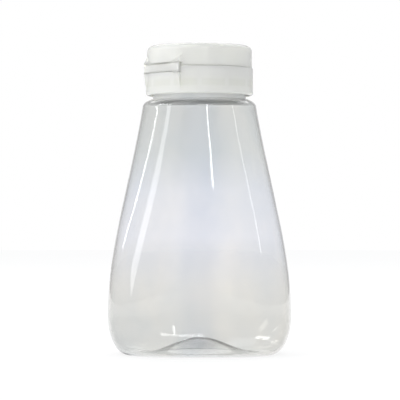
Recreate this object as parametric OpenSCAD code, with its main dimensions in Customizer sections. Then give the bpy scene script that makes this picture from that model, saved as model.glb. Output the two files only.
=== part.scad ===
// Dispensing sauce bottle with a flip cap. Millimetres, +Z up, origin under the middle of the foot.
// X runs along the oval's width, -Y is the front, and the cap's hinge is turned to the front left.

/* [Bottle body] */
// Widest width of the oval body
body_w = 72; // [60:1:90]
// Widest depth of the oval body
body_d = 46.4; // [43:0.2:56]
// Height from the foot to the top of the shoulder
body_h = 99.8; // [80:0.2:140]
// How far the shoulder reaches out from the neck along the oval's width, on each side
shoulder_out_w = 4.4; // [3.6:0.1:8]
// How far the shoulder reaches out from the neck along the oval's depth, on each side
shoulder_out_d = 2.7; // [2:0.1:4]
// Height of the rounding at the shoulder
shoulder_round_h = 3.4; // [2.4:0.2:5]
// Height of the rounding above the foot
corner_h = 15; // [8:0.5:22]
// How far the foot stands in from the widest width, on each side
foot_in_w = 8; // [4:0.5:12]
// How far the foot stands in from the widest depth, on each side
foot_in_d = 4.6; // [3:0.2:7]
// Width of the flat ring that the bottle stands on
foot_band = 3; // [2:0.5:5]
// Height of the push-up in the middle of the base
pushup_h = 6.2; // [1.5:0.1:8]
// How much the upper sides lean out, as a slope
side_lean = 0.18; // [0.1:0.01:0.24]
// Squareness of the oval low down, where 2 is an ellipse
oval_power = 2.5; // [2:0.1:3.5]
// Thickness of the blown wall
wall = 0.7; // [0.5:0.05:1.2]

/* [Bottle neck] */
// Outer diameter over the thread
thread_od = 35.4; // [30:0.1:40]
// Depth of the thread
thread_depth = 1.1; // [0.9:0.05:1.3]
// Rise of the thread in one turn
thread_pitch = 4.233; // [3.8:0.001:4.8]
// Turns of the thread on the neck
neck_thread_turns = 1.02; // [0.9:0.02:1.2]
// Plain height between the thread and the rim
rim_plain_h = 0.38; // [0.3:0.02:1]
// Wall of the neck
neck_wall = 1.5; // [1.2:0.1:2]
// Height of the bead below the thread
bead_h = 3; // [2.4:0.1:3.6]
// How far the bead stands out beyond the thread
bead_out = 0.55; // [0.3:0.05:0.8]
// Rounding of the bead's upper edge
bead_round = 1; // [0.5:0.1:1.4]

/* [Closure base] */
// Height of the skirt's bottom edge above the shoulder
skirt_lift = 1.4; // [0.8:0.1:1.8]
// Height of the inner threaded skirt's bottom edge above the bead
inner_lift = 1.5; // [1.2:0.1:1.6]
// Space between the two skirts
skirt_space = 1.05; // [0.8:0.05:1.4]
// Thickness of the outer skirt
skirt_t = 1.2; // [0.8:0.05:1.25]
// Thickness of the deck
deck_t = 1.2; // [1:0.05:1.5]
// Thickness of the inner threaded skirt
inner_t = 0.9; // [0.7:0.05:0.9]
// Number of ribs between the two skirts
rib_count = 12; // [6:1:24]
// Thickness of each rib
rib_t = 0.8; // [0.5:0.05:1.2]
// Turns of the thread inside the cap
cap_thread_turns = 0.86; // [0.6:0.02:0.9]
// Bevel round the bottom edge
bottom_bevel = 0.6; // [0.2:0.05:0.8]
// Height of the ring that the lid closes over
upstand_h = 1; // [0.6:0.1:1.4]
// Thickness of the ring that the lid closes over
upstand_t = 1.1; // [0.8:0.05:1.3]
// Depth of the thumb recess below the lid's front edge
thumb_depth = 0.9; // [0.4:0.05:1]
// Width of the thumb recess
thumb_w = 15; // [10:0.5:18]
// Height of the thumb recess
thumb_h = 4.3; // [3:0.1:5]

/* [Pouring opening] */
// Diameter of the pouring opening
orifice_d = 16; // [15:0.2:17]
// Height of the pouring lip above the deck
lip_h = 2.2; // [1.6:0.1:2.6]
// Thickness of the pouring lip
lip_t = 1; // [0.7:0.05:1.2]
// Wall of the valve housing
housing_t = 1.1; // [0.8:0.05:1.2]
// Depth of the housing below the retainer ring
housing_foot_h = 0.6; // [0.5:0.05:1]

/* [Lid] */
// How far the lid stands in from the base, on each side
lid_in = 0.4; // [0.2:0.05:0.6]
// Height of the lid above the base
lid_h = 9.05; // [8.6:0.05:11]
// Wall of the lid
lid_t = 1.1; // [0.8:0.05:1.15]
// Rounding of the lid's top edge
lid_round = 2.4; // [1.2:0.1:3]
// Rise of the lid's crown in the middle
lid_crown = 0.3; // [0.1:0.05:0.8]
// Thickness of the sealing ring inside the lid
plug_t = 1.1; // [0.8:0.05:1.3]
// Depth of the sealing ring inside the pouring lip
plug_reach = 1.4; // [0.8:0.1:1.6]

/* [Hinge] */
// Turn of the hinge from the front towards the left, in degrees
hinge_turn = 50; // [0:1:90]
// Width of the hinge strap
hinge_w = 21; // [17:0.2:22]
// How far the strap's flat outer face lies in from the base's round wall
hinge_in = 1.5; // [1.3:0.05:1.7]
// Length of the strap between its two films
strap_h = 3.8; // [3.4:0.1:4.2]
// Thickness of the strap
strap_t = 0.85; // [0.7:0.05:0.9]
// Radius of the rolled film at each hinge line
film_r = 0.25; // [0.2:0.01:0.35]
// Height over which the proud ends run out into the lid
lid_ramp_h = 3.3; // [2:0.1:4]
// Height over which the proud ends run out into the base
base_ramp_h = 7; // [4:0.1:7.4]

/* [Valve and seal] */
// Thickness of the valve's flange
flange_t = 1.5; // [1.2:0.05:1.6]
// Width of the valve's flange
flange_w = 3; // [2.4:0.1:3.2]
// Thickness of the valve's rolled sleeve
sleeve_t = 0.6; // [0.4:0.05:0.8]
// Thickness of the valve's head in the middle
head_t = 0.7; // [0.5:0.05:0.9]
// Hollow of the valve's head
head_sag = 0.7; // [0.3:0.05:0.9]
// Length of each of the two crossed slits
slit_l = 8; // [5:0.5:9]
// Width of the slits
slit_w = 0.12; // [0.08:0.01:0.2]
// Height of the retainer ring
retainer_h = 1.7; // [1.4:0.05:1.8]
// Thickness of the seal ring
seal_t = 0.5; // [0.4:0.05:0.8]

/* [Fits] */
// Radial gap between the two threads' walls
thread_gap = 0.15; // [0.1:0.01:0.2]
// Gap between the lid and the ring that it closes over
lid_gap = 0.15; // [0.1:0.01:0.2]
// Gap between the sealing ring and the pouring lip
plug_gap = 0.3; // [0.25:0.01:0.4]
// Gap round the valve and its retainer
valve_gap = 0.1; // [0.05:0.01:0.2]
// Gap round the rolled films
film_gap = 0.05; // [0.03:0.01:0.1]
// Gap behind the strap
strap_gap = 0.25; // [0.2:0.05:0.3]

/* [Hidden] */

clear_plastic = [0.86, 0.9, 0.93, 0.45];
milky_plastic = [0.94, 0.95, 0.92];
milky_strap = [0.88, 0.9, 0.87];
soft_silicone = [0.85, 0.87, 0.9];
white_foam = [0.97, 0.97, 0.95];

round_fn = 96;
film_fn = 32;
oval_count = 48;
thread_count = 36;
merge = 0.15;
tiny = 0.01;
run_out_in = 0.05;
cut = 1;

// Heights
ridge_root_h = 2.3;
ridge_tip_h = 1;
thread_foot_h = 0.3;
shoulder_z = body_h;
bead_top_z = shoulder_z + bead_h;
neck_thread_z = bead_top_z + thread_foot_h + ridge_root_h / 2;
rim_z = neck_thread_z + thread_pitch * neck_thread_turns + ridge_root_h / 2 + rim_plain_h;
deck_under_z = rim_z + seal_t;
deck_z = deck_under_z + deck_t;
skirt_z = shoulder_z + skirt_lift;
base_h = deck_z - skirt_z;
inner_skirt_z = bead_top_z + inner_lift;
lid_z = deck_z + lid_gap;
lid_top_z = lid_z + lid_h;
strap_drop = 0.4;
strap_mid_z = deck_z - strap_drop;
film_low_z = strap_mid_z - strap_h / 2;
film_high_z = strap_mid_z + strap_h / 2;

// Radii
thread_r = thread_od / 2;
neck_r = thread_r - thread_depth;
bore_r = neck_r - neck_wall;
bead_r = thread_r + bead_out;
inner_r = thread_r + thread_gap;
cap_r = inner_r + inner_t + skirt_space + skirt_t;
lid_r = cap_r - lid_in;
hinge_reach = cap_r - hinge_in;
orifice_r = orifice_d / 2;
flange_in_r = orifice_r + 2 * valve_gap;
flange_out_r = flange_in_r + flange_w;
housing_r = flange_out_r + 2 * valve_gap;
plug_r = orifice_r - plug_gap;
upstand_r = lid_r - lid_t - lid_gap;
neck_joint_in = 0.35;
neck_joint_r = bead_r - neck_joint_in;
shoulder_half_w = neck_joint_r + shoulder_out_w;
shoulder_half_d = neck_joint_r + shoulder_out_d;
hinge_azimuth = 270 - hinge_turn;

// A point on a Bezier curve of four points
function bezier(p, t) =
    pow(1 - t, 3) * p[0] + 3 * pow(1 - t, 2) * t * p[1] + 3 * (1 - t) * t * t * p[2] + pow(t, 3) * p[3];

// A point of an oval with half axes a and b at angle t, rounder or squarer with its power
function oval_point(a, b, power, t) = [
    a * sign(cos(t)) * pow(abs(cos(t)), 2 / power),
    b * sign(sin(t)) * pow(abs(sin(t)), 2 / power)
];

// Rings of the body: each is [half width, half depth, height, power]
corner_count = 7;
side_count = 11;
shoulder_count = 6;
pushup_count = 5;
side_low = [body_w / 2, corner_h];
side_high = [shoulder_half_w, shoulder_z - shoulder_round_h];
side_span = side_high[1] - side_low[1];
side_bend_low = 0.31;
side_bend_high = 0.55;
shoulder_power = 2.1;
side_curve = [
    side_high,
    [side_high[0] + side_lean * side_span * (1 - side_bend_high), side_low[1] + side_span * side_bend_high],
    [side_low[0], side_low[1] + side_span * side_bend_low],
    side_low
];

// Share of the way from the shoulder to the widest width at a height on the sides
function side_share(x) = (x - side_high[0]) / (side_low[0] - side_high[0]);
function side_depth(x) = shoulder_half_d + (body_d / 2 - shoulder_half_d) * side_share(x);
function side_power(x) = shoulder_power + (oval_power - shoulder_power) * side_share(x);

function corner_ring(skin, u) = [
    body_w / 2 - foot_in_w + (foot_in_w - skin) * cos(u),
    body_d / 2 - foot_in_d + (foot_in_d - skin) * cos(u),
    corner_h - (corner_h - skin) * sin(u),
    oval_power
];
function side_ring(skin, t) =
    let (p = bezier(side_curve, t))
    [p[0] - skin, side_depth(p[0]) - skin, p[1], side_power(p[0])];
function shoulder_ring(skin, u) = [
    neck_joint_r + (shoulder_out_w - skin) * cos(u),
    neck_joint_r + (shoulder_out_d - skin) * cos(u),
    side_high[1] + (shoulder_round_h - skin) * sin(u),
    2 + (shoulder_power - 2) * cos(u)
];
function foot_ring(share, height) =
    let (a = body_w / 2 - foot_in_w, b = body_d / 2 - foot_in_d)
    [a * share, b * share, height, oval_power + (2 - oval_power) * (1 - share)];

pushup_share = 1 - foot_band / (body_d / 2 - foot_in_d);
function pushup_ring(skin, i) =
    let (f = i / pushup_count)
    foot_ring(pushup_share * f, skin + pushup_h * (1 + cos(180 * f)) / 2);

function skin_rings(skin) = concat(
    [for (i = [1 : pushup_count]) pushup_ring(skin, i)],
    [for (i = [0 : corner_count - 1]) corner_ring(skin, 90 - 90 * i / corner_count)],
    [for (i = [0 : side_count]) side_ring(skin, 1 - i / side_count)],
    [for (i = [1 : shoulder_count]) shoulder_ring(skin, 90 * i / shoulder_count)]
);

function ring_points(ring) = [
    for (j = [0 : oval_count - 1])
        let (p = oval_point(ring[0], ring[1], ring[3], 360 * (j + 0.5) / oval_count))
        [p[0], p[1], ring[2]]
];

// Two triangles for each square between ring i and ring i + 1, seen from outside when flip is false
function band_faces(first, count, flip) = [
    for (i = [0 : count - 2])
        for (j = [0 : oval_count - 1])
            let (
                a = first + i * oval_count + j,
                b = first + i * oval_count + (j + 1) % oval_count,
                c = b + oval_count,
                d = a + oval_count
            )
            for (f = flip ? [[a, b, c], [a, c, d]] : [[a, c, b], [a, d, c]]) f
];
function fan_faces(pole, first, flip) = [
    for (j = [0 : oval_count - 1])
        let (a = first + j, b = first + (j + 1) % oval_count)
        flip ? [pole, b, a] : [pole, a, b]
];

module body_shell() {
    outer = skin_rings(0);
    inner = skin_rings(wall);
    count = len(outer);
    points = concat(
        [for (ring = outer) each ring_points(ring)],
        [for (ring = inner) each ring_points(ring)],
        [[0, 0, pushup_h], [0, 0, pushup_h + wall]]
    );
    inner_first = count * oval_count;
    last_outer = (count - 1) * oval_count;
    last_inner = inner_first + last_outer;
    pole = 2 * inner_first;
    rim_faces = [
        for (j = [0 : oval_count - 1])
            let (k = (j + 1) % oval_count)
            for (f = [
                [last_outer + j, last_inner + k, last_outer + k],
                [last_outer + j, last_inner + j, last_inner + k]
            ]) f
    ];
    polyhedron(points, concat(
        band_faces(0, count, false),
        band_faces(inner_first, count, true),
        fan_faces(pole, 0, false),
        fan_faces(pole + 1, inner_first, true),
        rim_faces
    ), convexity = 8);
}

// A helical ridge: root and tip radii, the height of its middle at its start, its turns and its start angle.
// It fades in and out over a twelfth of a turn.
fade_turn = 1 / 12;
start_depth = 0.3;
start_height = 0.5;
function fade(share, turns) = min(1, share * turns / fade_turn, (1 - share) * turns / fade_turn);
function ridge_section(root_r, tip_r, angle, z, grow) =
    let (
        top_r = root_r + (tip_r - root_r) * (start_depth + (1 - start_depth) * grow),
        tip_h = ridge_tip_h * (start_height + (1 - start_height) * grow)
    )
    [
        for (p = [
            [root_r, -ridge_root_h / 2], [top_r, -tip_h / 2], [top_r, tip_h / 2], [root_r, ridge_root_h / 2]
        ])
            [p[0] * cos(angle), p[0] * sin(angle), z + p[1]]
    ];
module helix_ridge(root_r, tip_r, start_z, turns, start_angle) {
    steps = ceil(turns * thread_count);
    corners = 4;
    points = [
        for (i = [0 : steps])
            each ridge_section(
                root_r, tip_r, start_angle + 360 * turns * i / steps,
                start_z + thread_pitch * turns * i / steps, fade(i / steps, turns)
            )
    ];
    outward = tip_r > root_r;
    sides = [
        for (i = [0 : steps - 1])
            for (j = [0 : corners - 1])
                let (
                    a = i * corners + j,
                    b = i * corners + (j + 1) % corners,
                    c = b + corners,
                    d = a + corners
                )
                for (f = outward ? [[a, b, c], [a, c, d]] : [[a, c, b], [a, d, c]]) f
    ];
    last = steps * corners;
    ends = outward
        ? [[0, 2, 1], [0, 3, 2], [last, last + 1, last + 2], [last, last + 2, last + 3]]
        : [[0, 1, 2], [0, 2, 3], [last, last + 2, last + 1], [last, last + 3, last + 2]];
    polyhedron(points, concat(sides, ends), convexity = 6);
}

// Threads: the cap's ridge runs half a pitch below the neck's, on the same helix
neck_thread_angle = 200;
cap_thread_foot = 0.1;
cap_thread_z = inner_skirt_z + ridge_root_h / 2 + cap_thread_foot;
cap_thread_turn = (cap_thread_z - (neck_thread_z - thread_pitch / 2)) / thread_pitch;
cap_thread_angle = neck_thread_angle + 360 * cap_thread_turn;
ridge_tip_gap = 0.2;
cap_ridge_tip_r = neck_r + ridge_tip_gap;

// Neck with its bead, lip and thread
lip_round = 0.5;
module neck_tube() {
    round_steps = 6;
    foot_drop = 0.9;
    flare_drop = 0.2;
    flare_out = 1.4;
    neck_foot_z = shoulder_z - foot_drop;
    flare_z = shoulder_z - flare_drop;
    profile = concat(
        [[bore_r + flare_out, neck_foot_z], [bead_r, neck_foot_z]],
        [
            for (i = [0 : round_steps])
                let (u = 90 * i / round_steps)
                [bead_r - bead_round * (1 - cos(u)), bead_top_z - bead_round * (1 - sin(u))]
        ],
        [[neck_r, bead_top_z]],
        [
            for (i = [0 : round_steps])
                let (u = 90 * i / round_steps)
                [neck_r - lip_round * (1 - cos(u)), rim_z - lip_round * (1 - sin(u))]
        ],
        [[bore_r, rim_z], [bore_r, flare_z]]
    );
    rotate_extrude($fn = round_fn) polygon(profile);
}

module bottle() {
    color(clear_plastic) union() {
        body_shell();
        neck_tube();
        helix_ridge(neck_r - merge, thread_r, neck_thread_z, neck_thread_turns, neck_thread_angle);
    }
}

// Turns a piece of the cap so that its local +X points at the hinge
module at_hinge() {
    rotate([0, 0, hinge_azimuth]) children();
}

// A prism along the hinge's width, from a profile of [distance from the axis, height] points
module hinge_prism(profile, width) {
    rotate([90, 0, 0]) linear_extrude(width, center = true) polygon(profile);
}

// The space that the strap and its rolled films need
slot_back = hinge_reach - strap_t - strap_gap;
slot_out = cap_r + 2 * cut;
slot_w = hinge_w + 2 * strap_gap;
module strap_slot(low_z, high_z) {
    hinge_prism([[slot_back, low_z], [slot_out, low_z], [slot_out, high_z], [slot_back, high_z]], slot_w);
}
module film_groove(z) {
    translate([hinge_reach, 0, z]) rotate([90, 0, 0])
        cylinder(h = slot_w, r = film_r + film_gap, center = true, $fn = film_fn);
}

// Proud ends of the hinge on the base, which run out downwards
module base_hinge_ends() {
    run_out_r = sqrt(pow(cap_r, 2) - pow(hinge_w / 2, 2));
    straight_h = 0.6;
    difference() {
        hinge_prism([
            [run_out_r - skirt_t, film_low_z - base_ramp_h],
            [run_out_r - run_out_in, film_low_z - base_ramp_h],
            [hinge_reach, film_low_z - straight_h],
            [hinge_reach, film_low_z],
            [run_out_r - skirt_t, film_low_z]
        ], hinge_w);
        translate([0, 0, skirt_z]) cylinder(h = base_h, r = cap_r - skirt_t / 2, $fn = round_fn);
    }
}

// Solid shelf that joins the two skirts under the strap
module base_shelf() {
    shelf_h = 1.4;
    intersection() {
        hinge_prism([
            [slot_back - shelf_h, film_low_z - shelf_h], [cap_r, film_low_z - shelf_h],
            [cap_r, film_low_z], [slot_back - shelf_h, film_low_z]
        ], hinge_w);
        tube(cap_r - merge, inner_r + merge, film_low_z - 2 * shelf_h, deck_z);
    }
}
// Solid wall that backs the thumb recess between the two skirts
module thumb_backing() {
    border = 1;
    low_z = deck_z - thumb_h - border;
    intersection() {
        tube(cap_r - merge, inner_r + inner_t - merge, low_z, deck_z - merge);
        translate([-cap_r, 0, low_z + thumb_h / 2])
            cube([cap_r, thumb_w + 2 * border, 2 * thumb_h], center = true);
    }
}

module skirt_ring() {
    rotate_extrude($fn = round_fn) polygon([
        [cap_r - skirt_t, skirt_z], [cap_r - bottom_bevel, skirt_z], [cap_r, skirt_z + bottom_bevel],
        [cap_r, deck_z], [cap_r - skirt_t, deck_z]
    ]);
}
module tube(r_out, r_in, low_z, high_z) {
    rotate_extrude($fn = round_fn) polygon([[r_in, low_z], [r_out, low_z], [r_out, high_z], [r_in, high_z]]);
}
module pouring_lip() {
    round_r = lip_t / 2;
    round_steps = 8;
    top = lip_h - round_r;
    rotate_extrude($fn = round_fn) polygon(concat(
        [[orifice_r, deck_under_z], [orifice_r + lip_t, deck_under_z]],
        [
            for (i = [0 : round_steps])
                let (u = 180 * i / round_steps)
                [orifice_r + round_r + round_r * cos(u), deck_z + top + round_r * sin(u)]
        ]
    ));
}
module upstand() {
    side_room = 2;
    room_in = 0.2 * hinge_reach;
    difference() {
        tube(upstand_r, upstand_r - upstand_t, deck_z - merge, deck_z + upstand_h);
        translate([cap_r, 0, deck_z + upstand_h])
            cube([2 * (hinge_in + room_in), hinge_w + 2 * side_room, 4 * upstand_h], center = true);
    }
}
module ribs() {
    rib_lift = 0.2;
    low_z = inner_skirt_z + rib_lift;
    rib_in = inner_r + inner_t - merge;
    rib_out = cap_r - skirt_t + merge;
    for (i = [0 : rib_count - 1])
        rotate([0, 0, 270 + 360 * i / rib_count]) translate([rib_in, -rib_t / 2, low_z])
            cube([rib_out - rib_in, rib_t, deck_under_z + merge - low_z]);
}
module valve_housing() {
    bead = 0.25;
    bead_top = deck_under_z - flange_t - retainer_h - film_gap;
    low_z = deck_under_z - flange_t - retainer_h - housing_foot_h;
    rotate_extrude($fn = round_fn) polygon([
        [housing_r - bead, low_z], [housing_r + housing_t, low_z],
        [housing_r + housing_t, deck_under_z + merge], [housing_r, deck_under_z + merge],
        [housing_r, bead_top], [housing_r - bead, bead_top - bead]
    ]);
}
module thumb_recess() {
    scoop_r = (pow(thumb_w / 2, 2) + pow(thumb_depth, 2)) / (2 * thumb_depth);
    flat_x = cap_r - thumb_depth;
    rotate([0, 0, 180]) translate([flat_x, 0, deck_z - thumb_h]) {
        linear_extrude(thumb_h + tiny) polygon([
            for (y = [-thumb_w / 2 : thumb_w / 10 : thumb_w / 2 + tiny]) [y * y / (2 * scoop_r), y],
            [thumb_depth + cut, thumb_w / 2], [thumb_depth + cut, -thumb_w / 2]
        ]);
    }
}

module closure_base() {
    color(milky_plastic) at_hinge() difference() {
        union() {
            skirt_ring();
            translate([0, 0, deck_under_z]) cylinder(h = deck_t, r = cap_r - merge, $fn = round_fn);
            base_hinge_ends();
            base_shelf();
            thumb_backing();
            tube(inner_r + inner_t, inner_r, inner_skirt_z, deck_under_z + merge);
            valve_housing();
            pouring_lip();
            upstand();
            rotate([0, 0, -hinge_azimuth]) ribs();
            rotate([0, 0, -hinge_azimuth]) helix_ridge(
                inner_r + merge, cap_ridge_tip_r, cap_thread_z, cap_thread_turns, cap_thread_angle
            );
        }
        translate([0, 0, deck_under_z - cut])
            cylinder(h = deck_t + lip_h + 2 * cut, r = orifice_r, $fn = round_fn);
        strap_slot(film_low_z - film_gap, deck_z + upstand_h + cut);
        film_groove(film_low_z);
        thumb_recess();
    }
}

// Lid: a round cap shell with its crown, sealing ring, hinge shelf and proud hinge ends
crown_count = 6;
edge_count = 6;
lid_side_top = lid_h - lid_round - lid_crown;
function lid_outline(r, top_trim, edge_r) = concat(
    [
        for (i = [0 : edge_count])
            let (u = 90 * i / edge_count)
            [r - edge_r + edge_r * cos(u), lid_z + lid_side_top + (lid_round - top_trim) * sin(u)]
    ],
    [
        for (i = [1 : crown_count])
            let (f = 1 - i / crown_count)
            [(r - edge_r) * f, lid_z + lid_h - lid_crown * f * f - top_trim]
    ]
);
module lid_solid(r, low_z, top_trim, edge_r) {
    rotate_extrude($fn = round_fn)
        polygon(concat([[0, low_z], [r, low_z]], lid_outline(r, top_trim, edge_r)));
}
module lid_hinge_ends() {
    run_out_r = sqrt(pow(lid_r, 2) - pow(hinge_w / 2, 2));
    difference() {
        hinge_prism([
            [run_out_r - lid_t, film_high_z], [hinge_reach, film_high_z],
            [run_out_r - run_out_in, film_high_z + lid_ramp_h], [run_out_r - lid_t, film_high_z + lid_ramp_h]
        ], hinge_w);
        translate([0, 0, lid_z]) cylinder(h = lid_h, r = lid_r - lid_t / 2, $fn = round_fn);
    }
}
module lid_shelf() {
    shelf_h = 1.2;
    intersection() {
        hinge_prism([
            [hinge_reach - strap_t, film_high_z], [lid_r, film_high_z],
            [lid_r, film_high_z + shelf_h], [hinge_reach - strap_t, film_high_z + shelf_h]
        ], hinge_w);
        cylinder(h = lid_top_z, r = lid_r - merge, $fn = round_fn);
    }
}
module sealing_ring() {
    low_z = deck_z + lip_h - plug_reach;
    bevel = 0.3;
    rotate_extrude($fn = round_fn) polygon([
        [plug_r - plug_t, low_z], [plug_r - bevel, low_z], [plug_r, low_z + bevel],
        [plug_r, lid_top_z - lid_t], [plug_r - plug_t, lid_top_z - lid_t]
    ]);
}

module lid() {
    color(milky_plastic) at_hinge() difference() {
        union() {
            difference() {
                lid_solid(lid_r, lid_z, 0, lid_round);
                lid_solid(lid_r - lid_t, lid_z - cut, lid_t, lid_round - lid_t / 2);
            }
            sealing_ring();
            lid_shelf();
            lid_hinge_ends();
        }
        strap_slot(lid_z - cut, film_high_z);
        film_groove(film_high_z);
    }
}

module hinge_strap() {
    color(milky_strap) at_hinge() union() {
        hinge_prism([
            [hinge_reach - strap_t, film_low_z], [hinge_reach, film_low_z],
            [hinge_reach, film_high_z], [hinge_reach - strap_t, film_high_z]
        ], hinge_w);
        for (z = [film_low_z, film_high_z])
            translate([hinge_reach, 0, z]) rotate([90, 0, 0])
                cylinder(h = hinge_w, r = film_r, center = true, $fn = film_fn);
    }
}

// Valve: flange, rolled sleeve and hollow head with two crossed slits
module silicone_valve() {
    steps = 6;
    head_drop = 0.6;
    rim_rise = 0.3;
    rim_bevel = 0.2;
    fold_h = 0.7;
    sleeve_out = orifice_r - plug_gap;
    sleeve_in = sleeve_out - sleeve_t;
    head_low = deck_under_z - head_drop;
    rim_top = head_low + head_sag + head_t + rim_rise;
    flange_low = deck_under_z - flange_t;
    function head_point(share, up) = [sleeve_in * share, head_low + up + head_sag * share * share];
    color(soft_silicone) difference() {
        rotate_extrude($fn = round_fn) polygon(concat(
            [for (i = [0 : steps]) head_point(i / steps, 0)],
            [[sleeve_in, flange_low], [flange_out_r, flange_low], [flange_out_r, deck_under_z]],
            [[flange_in_r, deck_under_z], [flange_in_r, deck_under_z - fold_h]],
            [[sleeve_out, deck_under_z - fold_h], [sleeve_out, rim_top - rim_bevel]],
            [[sleeve_out - rim_bevel, rim_top], [sleeve_in + rim_bevel, rim_top]],
            [for (i = [steps : -1 : 0]) head_point(i / steps, head_t)]
        ));
        for (a = [45, 135])
            rotate([0, 0, a]) translate([0, 0, deck_under_z])
                cube([slit_l, slit_w, 4 * (head_t + head_sag)], center = true);
    }
}

module valve_retainer() {
    bevel = 0.3;
    ring_top = deck_under_z - flange_t;
    ring_out = housing_r - valve_gap;
    ring_in = ring_out - flange_w + bevel;
    color(milky_plastic) rotate_extrude($fn = round_fn) polygon([
        [ring_in, ring_top - retainer_h], [ring_out - bevel, ring_top - retainer_h],
        [ring_out, ring_top - retainer_h + bevel], [ring_out, ring_top], [ring_in, ring_top]
    ]);
}

module seal_ring() {
    side_gap = 0.25;
    color(white_foam) tube(inner_r - side_gap, bore_r + side_gap, rim_z, deck_under_z);
}

bottle();
closure_base();
lid();
hinge_strap();
silicone_valve();
valve_retainer();
seal_ring();
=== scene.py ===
"""Looks of a clear squeeze bottle with a milky flip cap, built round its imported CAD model.

The frame is the CAD's: metres, +Z up, the photograph looks along +Y. Sizes marked MM are millimetres.
"""

import math

import bmesh
import bpy
import numpy as np
from mathutils import Matrix, Vector


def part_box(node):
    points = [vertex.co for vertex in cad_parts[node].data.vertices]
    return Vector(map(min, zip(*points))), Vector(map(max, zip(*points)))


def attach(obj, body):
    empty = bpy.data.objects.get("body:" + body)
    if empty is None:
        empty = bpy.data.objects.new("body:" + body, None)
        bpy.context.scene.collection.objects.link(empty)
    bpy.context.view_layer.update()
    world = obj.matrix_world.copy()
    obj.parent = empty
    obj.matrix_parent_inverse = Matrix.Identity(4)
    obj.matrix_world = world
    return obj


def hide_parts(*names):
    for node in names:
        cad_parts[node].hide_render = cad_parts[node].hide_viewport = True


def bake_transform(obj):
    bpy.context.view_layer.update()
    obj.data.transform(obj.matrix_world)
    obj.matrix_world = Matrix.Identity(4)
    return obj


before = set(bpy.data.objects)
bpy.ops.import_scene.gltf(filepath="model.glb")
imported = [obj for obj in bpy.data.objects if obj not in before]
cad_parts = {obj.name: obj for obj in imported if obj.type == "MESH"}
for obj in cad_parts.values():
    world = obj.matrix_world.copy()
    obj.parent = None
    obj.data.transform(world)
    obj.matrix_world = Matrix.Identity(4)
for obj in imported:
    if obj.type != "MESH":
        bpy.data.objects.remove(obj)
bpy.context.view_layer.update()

MM = 0.001

# Heights and radii that the CAD nodes give, in millimetres
bottle_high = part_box("bottle")[1] / MM
seal_low, seal_high = (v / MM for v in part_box("seal_ring"))
base_low, base_high = (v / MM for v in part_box("closure_base"))
lid_low, lid_high = (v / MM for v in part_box("lid"))
strap_low, strap_high = (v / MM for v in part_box("hinge_strap"))
ring_low, ring_high = (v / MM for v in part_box("valve_retainer"))
valve_low, valve_high = (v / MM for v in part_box("silicone_valve"))

# The parting line between base and lid is drawn this much finer than the solids leave it
PARTING_TRIM = 0.12

BODY_HALF_W = bottle_high.x
BODY_HALF_D = bottle_high.y
RIM_Z = bottle_high.z
DECK_UNDER_Z = seal_high.z
SKIRT_Z = base_low.z
LIP_TOP_Z = base_high.z
LID_Z = lid_low.z - PARTING_TRIM
LID_TOP_Z = lid_high.z
FILM_R = 0.25
FILM_LOW_Z = strap_low.z + FILM_R
FILM_HIGH_Z = strap_high.z - FILM_R

# Bottle
SHOULDER_Z = 99.8
SHOULDER_HALF_W = 22.3
SHOULDER_HALF_D = 20.6
SHOULDER_ROUND_H = 3.4
CORNER_H = 15.0
FOOT_IN_W = 8.0
FOOT_IN_D = 4.6
FOOT_BAND = 3.0
PUSHUP_H = 6.2
SIDE_LEAN = 0.18
SIDE_BEND_LOW = 0.31
SIDE_BEND_HIGH = 0.55
OVAL_POWER = 2.5
SHOULDER_POWER = 2.1
WALL = 0.7
NECK_JOINT_R = 17.9
BEAD_R = 18.25
BEAD_H = 3.0
BEAD_ROUND = 1.0
NECK_R = 16.6
BORE_R = 15.1
LIP_ROUND = 0.5
THREAD_R = 17.7
THREAD_PITCH = 4.233
THREAD_ROOT_H = 2.3
THREAD_TIP_H = 1.0
NECK_THREAD_TURNS = 1.02
NECK_THREAD_ANGLE = 200.0
NECK_THREAD_Z = SHOULDER_Z + BEAD_H + THREAD_ROOT_H / 2 + 0.3

# Cap
CAP_R = 21.0
DECK_T = 1.2
DECK_Z = DECK_UNDER_Z + DECK_T
SKIRT_T = 1.2
INNER_R = 17.85
INNER_T = 0.9
INNER_SKIRT_Z = SKIRT_Z + 3.1
BOTTOM_BEVEL = 0.6
UPSTAND_R = 19.35
UPSTAND_T = 1.1
UPSTAND_H = 1.0
ORIFICE_R = 8.0
LIP_T = 1.0
HOUSING_R = 11.4
HOUSING_T = 1.1
HOUSING_LOW_Z = ring_low.z - 0.6
RIB_COUNT = 12
RIB_T = 0.8
CAP_THREAD_TURNS = 0.86
CAP_THREAD_TIP_R = NECK_R + 0.2
CAP_THREAD_Z = INNER_SKIRT_Z + THREAD_ROOT_H / 2 + 0.1
THUMB_DEPTH = 0.9
THUMB_W = 15.0
THUMB_H = 4.3
LID_R = 20.6
LID_T = 1.1
LID_ROUND = 2.4
LID_CROWN = 0.3
PLUG_R = 7.7
PLUG_T = 1.1
PLUG_LOW_Z = LIP_TOP_Z - 1.4

# Hinge
HINGE_AZIMUTH = math.radians(220)
HINGE_REACH = 19.5
HINGE_HALF_W = 10.5
STRAP_T = 0.85
STRAP_GAP = 0.25
SLOT_BACK = HINGE_REACH - STRAP_T - STRAP_GAP
LID_RAMP_H = 3.3
BASE_RAMP_H = 7.0
RAMP_FOOT = 0.6
SHELF_H = 1.3

# Meshes

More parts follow.
